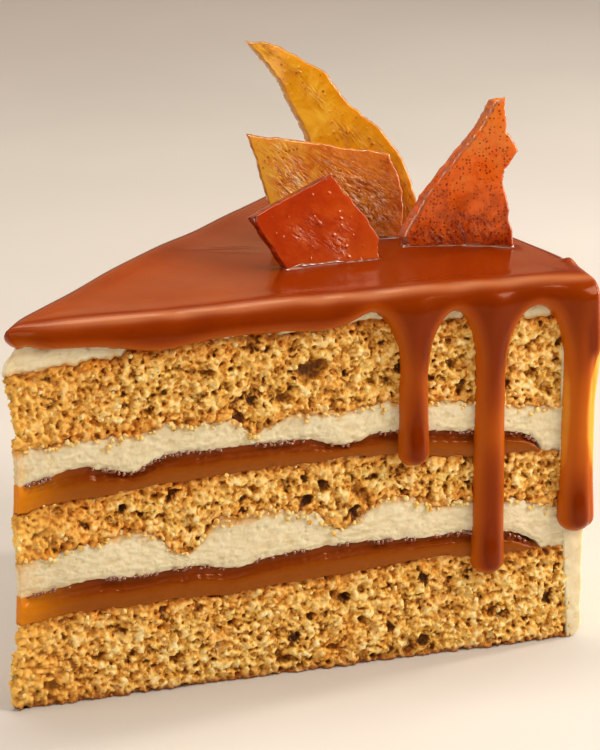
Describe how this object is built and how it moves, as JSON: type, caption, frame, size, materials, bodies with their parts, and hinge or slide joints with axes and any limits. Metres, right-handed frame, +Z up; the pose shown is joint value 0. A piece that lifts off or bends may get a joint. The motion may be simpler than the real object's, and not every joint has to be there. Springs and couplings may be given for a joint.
{
  "type": "iced caramel layer cake slice",
  "caption": "Wedge of layered sponge cake with caramel and cream fillings, a cream coat, a poured caramel glaze with drips, and upright shards of clear caramel on top",
  "frame": {"origin": "bottom centre of the slice's box, on the flat underside that it rests on", "axes": "+X from the tip towards the rim, +Y across the slice, +Z up; the cut face with the long drips faces -Y"},
  "size_m": [0.1199, 0.093, 0.1122],
  "materials": {
    "sponge": "open yellow crumb with brown pores, moist, not glossy",
    "caramel": "smooth soft caramel, cut clean, glossy along its upper edge",
    "cream": "pale butter cream, satin, slightly rough",
    "glaze": "poured caramel glaze, wet gloss",
    "shard_yellow": "clear yellow-amber boiled sugar, glossy, with bubbles",
    "shard_amber": "clear amber boiled sugar, crackled and wrinkled",
    "shard_red": "clear dark orange-red boiled sugar, glossy",
    "shard_orange": "clear orange boiled sugar with dark speckles, darker at its foot"
  },
  "bodies": {
    "root": {"sponge_bottom": "sponge", "caramel_lower": "caramel", "cream_lower": "cream", "sponge_middle": "sponge", "caramel_upper": "caramel", "cream_upper": "cream", "sponge_top": "sponge", "cream_coat": "cream", "caramel_glaze": "glaze", "shard_tall": "shard_yellow", "shard_crackled": "shard_amber", "shard_front": "shard_red", "shard_right": "shard_orange"}
  },
  "joints": []
}
